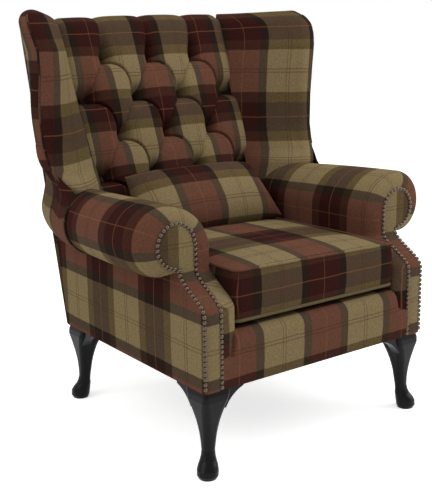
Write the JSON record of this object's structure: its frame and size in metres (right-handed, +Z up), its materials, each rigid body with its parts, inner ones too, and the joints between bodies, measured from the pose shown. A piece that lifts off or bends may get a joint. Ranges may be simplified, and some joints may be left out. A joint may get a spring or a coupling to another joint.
{
  "type": "wing chair",
  "caption": "High-back wing chair with scroll arms, deep-buttoned back, loose seat cushion, lumbar pillow and cabriole legs.",
  "frame": {"origin": "on the floor under the middle of the chair", "axes": "+Z up, -Y is the front of the chair, +X is the viewer's right when looking at the front"},
  "size_m": [0.939, 0.7983, 1.011],
  "materials": {
    "plaid_wool": "woven wool plaid in tan, terracotta, maroon, olive and taupe",
    "ebonised_wood": "black satin lacquer",
    "bolt_steel": "zinc plated",
    "frame_beech": "planed, unfinished",
    "elastic_webbing": "woven elastic webbing",
    "foam": "polyurethane foam and fibre",
    "antique_brass": "dark antique brass nail heads",
    "dust_cloth": "black non-woven lining"
  },
  "bodies": {
    "chair": {"back_buttons": "plaid_wool", "back_lower_rail": "frame_beech", "back_seat_rail": "frame_beech", "back_top_rail": "frame_beech", "corner_blocks": "frame_beech", "dust_cover": "dust_cloth", "front_border": "plaid_wool", "front_left_leg": "ebonised_wood", "front_right_leg": "ebonised_wood", "front_seat_rail": "frame_beech", "inside_back_pad": "plaid_wool", "left_arm_board": "frame_beech", "left_arm_facing": "plaid_wool", "left_arm_front_border": "plaid_wool", "left_arm_pad": "plaid_wool", "left_arm_stump": "frame_beech", "left_back_post": "frame_beech", "left_outside_arm": "plaid_wool", "left_outside_wing": "plaid_wool", "left_seat_side_rail": "frame_beech", "left_wing_pad": "plaid_wool", "left_wing_post": "frame_beech", "left_wing_rail": "frame_beech", "left_wing_skirt": "plaid_wool", "leg_bolts": "bolt_steel", "outside_back_panel": "plaid_wool", "rear_left_leg": "ebonised_wood", "rear_right_leg": "ebonised_wood", "right_arm_board": "frame_beech", "right_arm_facing": "plaid_wool", "right_arm_front_border": "plaid_wool", "right_arm_pad": "plaid_wool", "right_arm_stump": "frame_beech", "right_back_post": "frame_beech", "right_outside_arm": "plaid_wool", "right_outside_wing": "plaid_wool", "right_seat_side_rail": "frame_beech", "right_wing_pad": "plaid_wool", "right_wing_post": "frame_beech", "right_wing_rail": "frame_beech", "right_wing_skirt": "plaid_wool", "seat_deck": "plaid_wool", "seat_webbing_cross": "elastic_webbing", "seat_webbing_long": "elastic_webbing"},
    "seat_cushion": {"seat_cushion_cover": "plaid_wool", "seat_cushion_foam": "foam"},
    "lumbar_pillow": {"lumbar_pillow_cover": "plaid_wool", "lumbar_pillow_filling": "foam"}
  },
  "joints": [
    {"name": "cushion_lift", "type": "slide", "parent": "chair", "child": "seat_cushion", "axis": [0, 0, 1], "range_m": [0, 0.3]},
    {"name": "pillow_lift", "type": "slide", "parent": "seat_cushion", "child": "lumbar_pillow", "axis": [0, 0, 1], "range_m": [0, 0.3]}
  ]
}
